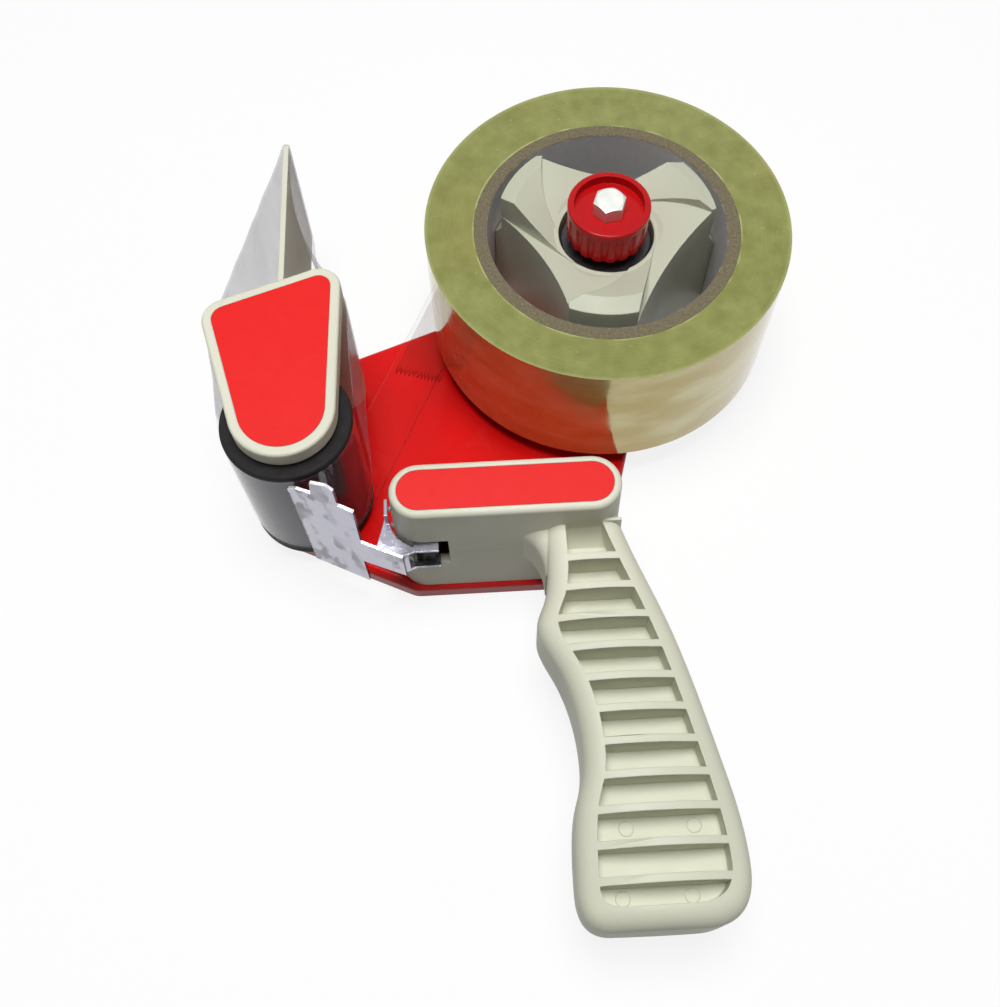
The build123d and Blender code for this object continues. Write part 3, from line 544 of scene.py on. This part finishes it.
tooth = 0.0022
stuck_below = 0.08
stuck_more_above = 0.44
peel_gap = 0.0004
lift = 0.0013
curl = 0.0003
shape = bmesh.new()
to_end = shape.verts.layers.float.new("to_end")
bmesh.ops.create_grid(shape, x_segments=24, y_segments=24, size=0.5)
rows = sorted({round(vert.co.y, 5) for vert in shape.verts})
for vert in shape.verts:
    travel, rise = vert.co.x + 0.5, vert.co.y + 0.5
    zigzag = tooth * (rows.index(round(vert.co.y, 5)) % 2)
    cut = run_length * (stuck_below + stuck_more_above * rise) + zigzag
    vert[to_end] = cut * (1 - travel)
    vert.co = meet + along * (run_length - peel_gap - cut * travel) + across * (lift + curl * travel)
    vert.co.z = loop_low.z + tape_width * rise
bmesh.ops.recalc_face_normals(shape, faces=shape.faces)
bmesh.ops.solidify(shape, geom=shape.faces, thickness=film)
flap_film, shader, place = finish("flap_film", {"Specular IOR Level": 0.4})
left = place.node("ShaderNodeAttribute", {"attribute_name": "to_end"}, {}, "Fac")
# Painted shadow: the toothed cut end is drawn dark red and more opaque, as its shadow on the plate.
cut_end_shadow = 1 - left.step(0.0003, 0.0012)
cut_end_shadow.tint(rgb(150, 84, 60), rgb(92, 16, 12)).to(shader, "Base Color")
(0.1 + 0.06 * place.cloud(120.0, 4.0) + 0.3 * cut_end_shadow).to(shader, "Alpha")
(0.1 + 0.2 * place.cloud(45.0, 3.0)).to(shader, "Roughness")
place.cloud(160.0, 3.0).relief(0.0003).to(shader, "Normal")
add_piece("tape_flap", shape, flap_film, "frame")


# Studio: a pale floor that keeps a faint shadow, a pale world and three soft round lamps. The camera
# looks down from above the heel of the grip, as the photograph does.
def background_rays(tree):
    """1 for rays that show the background: straight to the camera, off shiny pieces or through glass."""
    path = tree.nodes.new("ShaderNodeLightPath")
    seen = Wire(tree, path.outputs["Is Camera Ray"])
    for ray in ("Is Glossy Ray", "Is Transmission Ray"):
        seen = seen.math("MAXIMUM", seen, Wire(tree, path.outputs[ray]))
    return seen


white = (1.0, 1.0, 1.0, 1.0)
floor_mesh = bpy.data.meshes.new("floor")
shape = bmesh.new()
bmesh.ops.create_grid(shape, x_segments=1, y_segments=1, size=4.0)
shape.to_mesh(floor_mesh)
shape.free()
floor = bpy.data.objects.new("floor", floor_mesh)
bpy.context.scene.collection.objects.link(floor)
floor_finish = bpy.data.materials.new("pale_floor")
floor_finish.use_nodes = True
tree = floor_finish.node_tree
tree.nodes.clear()
seen = background_rays(tree)
lighting_tone = (0.28, 0.28, 0.28, 1.0)
shown_tone = (0.95, 0.95, 0.95, 1.0)
shadowless = 0.85
matt = seen.node("ShaderNodeBsdfDiffuse", {}, {"Color": seen.tint(lighting_tone, shown_tone)})
glow = seen.node("ShaderNodeEmission", {}, {"Color": white, "Strength": 1.0})
mixed = seen.node("ShaderNodeMixShader", {}, {0: seen * shadowless, 1: matt, 2: glow})
ground = tree.nodes.new("ShaderNodeOutputMaterial")
mixed.to(ground, "Surface")
floor_mesh.materials.append(floor_finish)

world = bpy.data.worlds.new("pale_world")
bpy.context.scene.world = world
world.use_nodes = True
tree = world.node_tree
seen = background_rays(tree)
ambient = 0.08
(ambient + (1 - ambient) * seen).to(tree.nodes["Background"], "Strength")
tree.nodes["Background"].inputs["Color"].default_value = white

middle = Vector((0, 0, 0.03))
for name, spot, size, power in (
    ("key", (-0.02, 0.03, 1.10), 0.5, 10.9),
    ("fill", (-0.80, 0.10, 0.60), 0.8, 0.6),
    ("right", (0.75, -0.10, 0.45), 0.6, 0.5),
):
    lamp = bpy.data.lights.new(name, "AREA")
    lamp.shape = "DISK"
    lamp.size = size
    lamp.energy = power
    stand = bpy.data.objects.new(name, lamp)
    beam = middle - Vector(spot)
    stand.matrix_world = Matrix.Translation(spot) @ beam.to_track_quat("-Z", "Y").to_matrix().to_4x4()
    bpy.context.scene.collection.objects.link(stand)

lens = bpy.data.cameras.new("camera")
lens.lens = 39.38
lens.sensor_width = 36.0
camera = bpy.data.objects.new("camera", lens)
camera.location = (-0.00900, -0.15683, 0.34839)
camera.rotation_euler = (0.44096, 0.01316, -0.05164)
bpy.context.scene.collection.objects.link(camera)
bpy.context.scene.camera = camera
bpy.context.scene.view_settings.view_transform = "Standard"
